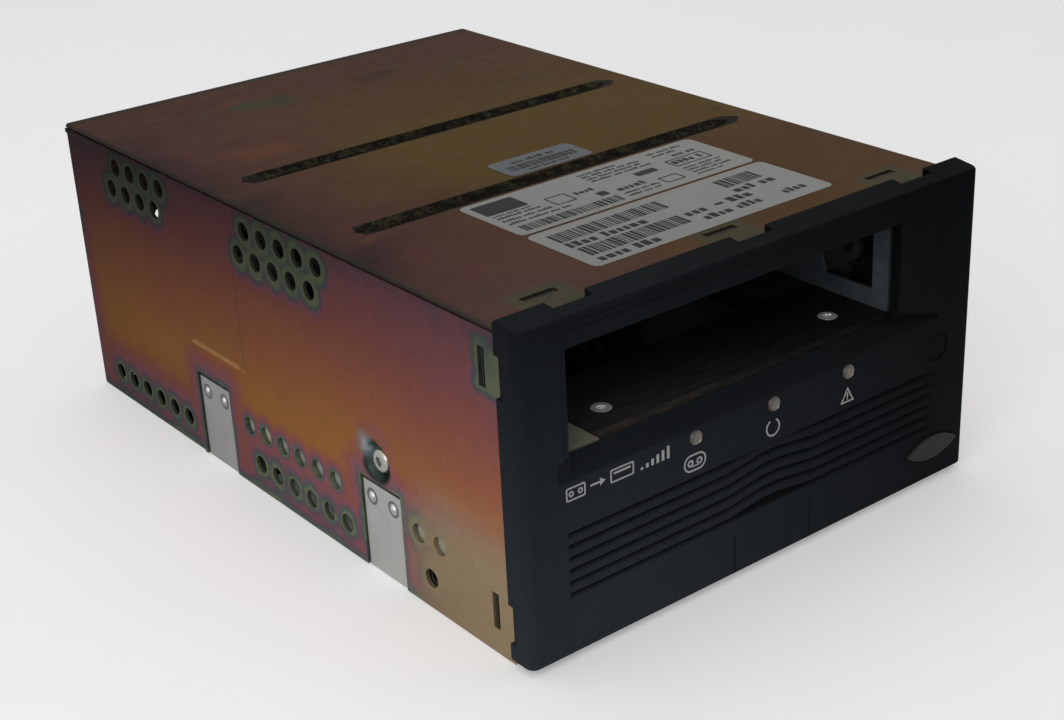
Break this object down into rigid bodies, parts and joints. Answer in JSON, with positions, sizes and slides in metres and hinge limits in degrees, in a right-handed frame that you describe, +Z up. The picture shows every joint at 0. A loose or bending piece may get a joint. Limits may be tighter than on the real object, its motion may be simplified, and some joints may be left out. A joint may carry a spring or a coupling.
{
  "type": "data tape drive",
  "caption": "Full-height internal data tape drive with a yellow zinc-plated steel case, a charcoal front bezel with a cartridge slot, and an eject button.",
  "frame": {"origin": "centre of the bounding box at its underside", "axes": "+X to the right as seen from the front, +Y from the front bezel to the rear connectors, +Z up"},
  "size_m": [0.1484, 0.2164, 0.0861],
  "materials": {
    "zinc_plate": "satin",
    "bright_sheet": "satin",
    "black_plastic": "matte",
    "grey_plastic": "matte",
    "lamp_plastic": "gloss",
    "board_green": "satin",
    "spring_steel": "satin",
    "black_steel": "satin",
    "cast_alloy": "matte",
    "screw_steel": "satin",
    "motor_steel": "satin",
    "reel_plastic": "satin",
    "head_ceramic": "gloss",
    "gear_plastic": "satin",
    "brass": "satin",
    "chip_plastic": "matte",
    "can_alloy": "satin",
    "white_plastic": "satin",
    "roller_alloy": "polished"
  },
  "bodies": {
    "chassis": {"bezel": "black_plastic", "bezel_clips": "black_plastic", "board_chips": "chip_plastic", "board_screws": "screw_steel", "board_spacers": "brass", "bottom_cover": "bright_sheet", "bottom_screws": "screw_steel", "capacitors": "can_alloy", "deck": "cast_alloy", "deck_legs": "cast_alloy", "eject_spring": "spring_steel", "eject_switch": "board_green", "fan_frame": "chip_plastic", "fan_screws": "screw_steel", "head_bridge": "bright_sheet", "head_guide_rods": "spring_steel", "head_stepper": "motor_steel", "heat_sink": "cast_alloy", "jumper_header": "chip_plastic", "lamp_board": "board_green", "left_rail": "bright_sheet", "left_wall": "zinc_plate", "load_motor": "motor_steel", "loader_plate": "bright_sheet", "main_board": "board_green", "motor_screws": "screw_steel", "mount_pads": "cast_alloy", "power_socket": "white_plastic", "rear_panel": "zinc_plate", "receiver_block": "cast_alloy", "receiver_floor": "black_steel", "receiver_lid": "bright_sheet", "receiver_screws": "screw_steel", "receiver_shelf_left": "zinc_plate", "receiver_shelf_right": "zinc_plate", "receiver_wall_left": "bright_sheet", "receiver_wall_right": "bright_sheet", "right_rail": "bright_sheet", "right_wall": "zinc_plate", "side_screws": "screw_steel", "signal_socket": "chip_plastic", "status_lamps": "lamp_plastic", "supply_motor": "motor_steel", "takeup_motor": "motor_steel", "top_cover": "zinc_plate"},
    "eject": {"eject_button": "grey_plastic"},
    "fan": {"fan_rotor": "chip_plastic"},
    "takeup": {"takeup_reel": "reel_plastic"},
    "supply": {"supply_hub": "reel_plastic"},
    "roller_1": {"guide_roller_1": "roller_alloy"},
    "roller_2": {"guide_roller_2": "roller_alloy"},
    "roller_3": {"guide_roller_3": "roller_alloy"},
    "roller_4": {"guide_roller_4": "roller_alloy"},
    "lead_screw": {"head_lead_screw": "spring_steel"},
    "head": {"head_carriage": "cast_alloy", "tape_head": "head_ceramic"},
    "leader": {"leader_arm": "grey_plastic"},
    "load_wheel": {"load_gear": "gear_plastic"},
    "load_drive": {"load_pinion": "brass"},
    "latch": {"latch_lever": "gear_plastic"}
  },
  "joints": [
    {"name": "eject_press", "type": "slide", "parent": "chassis", "child": "eject", "axis": [0, 1, 0], "range_m": [0, 0.001], "stiffness_N_per_m": 600, "springref_m": -0.001, "deforming": ["eject_spring"]},
    {"name": "fan_spin", "type": "hinge", "parent": "chassis", "child": "fan", "pos_m": [0.044, 0.10025, 0.058], "axis": [0, 1, 0], "continuous": true},
    {"name": "takeup_spin", "type": "hinge", "parent": "chassis", "child": "takeup", "pos_m": [0, 0.04875, 0.044], "axis": [0, 0, 1], "continuous": true},
    {"name": "supply_spin", "type": "hinge", "parent": "chassis", "child": "supply", "pos_m": [-0.0074, -0.04775, 0.04], "axis": [0, 0, 1], "continuous": true},
    {"name": "roller_1_spin", "type": "hinge", "parent": "chassis", "child": "roller_1", "pos_m": [-0.0465, 0.00675, 0.044], "axis": [0, 0, 1], "continuous": true},
    {"name": "roller_2_spin", "type": "hinge", "parent": "chassis", "child": "roller_2", "pos_m": [-0.0568, 0.01775, 0.044], "axis": [0, 0, 1], "continuous": true},
    {"name": "roller_3_spin", "type": "hinge", "parent": "chassis", "child": "roller_3", "pos_m": [-0.0568, 0.05675, 0.044], "axis": [0, 0, 1], "continuous": true},
    {"name": "roller_4_spin", "type": "hinge", "parent": "chassis", "child": "roller_4", "pos_m": [-0.0485, 0.07245, 0.044], "axis": [0, 0, 1], "continuous": true},
    {"name": "lead_screw_turn", "type": "hinge", "parent": "chassis", "child": "lead_screw", "pos_m": [-0.06, 0.03725, 0.04], "axis": [0, 0, 1], "range_deg": [-1080, 1080]},
    {"name": "head_travel", "type": "slide", "parent": "chassis", "child": "head", "axis": [0, 0, 1], "range_m": [-0.003, 0.003]},
    {"name": "leader_swing", "type": "hinge", "parent": "chassis", "child": "leader", "pos_m": [-0.062, 0.00325, 0.0555], "axis": [0, 0, 1], "range_deg": [0, 40]},
    {"name": "load_wheel_turn", "type": "hinge", "parent": "chassis", "child": "load_wheel", "pos_m": [0.059, -0.06775, 0.058], "axis": [1, 0, 0], "range_deg": [0, 150]},
    {"name": "load_drive_turn", "type": "hinge", "parent": "chassis", "child": "load_drive", "pos_m": [0.059, -0.0524, 0.058], "axis": [1, 0, 0], "range_deg": [-420, 0]},
    {"name": "latch_swing", "type": "hinge", "parent": "chassis", "child": "latch", "pos_m": [0.054, -0.08375, 0.063], "axis": [1, 0, 0], "range_deg": [0, 12]}
  ],
  "couplings": [
    {"joint": "lead_screw_turn", "follows": "head_travel", "rad_per_m": 4188.8},
    {"joint": "load_drive_turn", "follows": "load_wheel_turn", "ratio": -2.8}
  ]
}
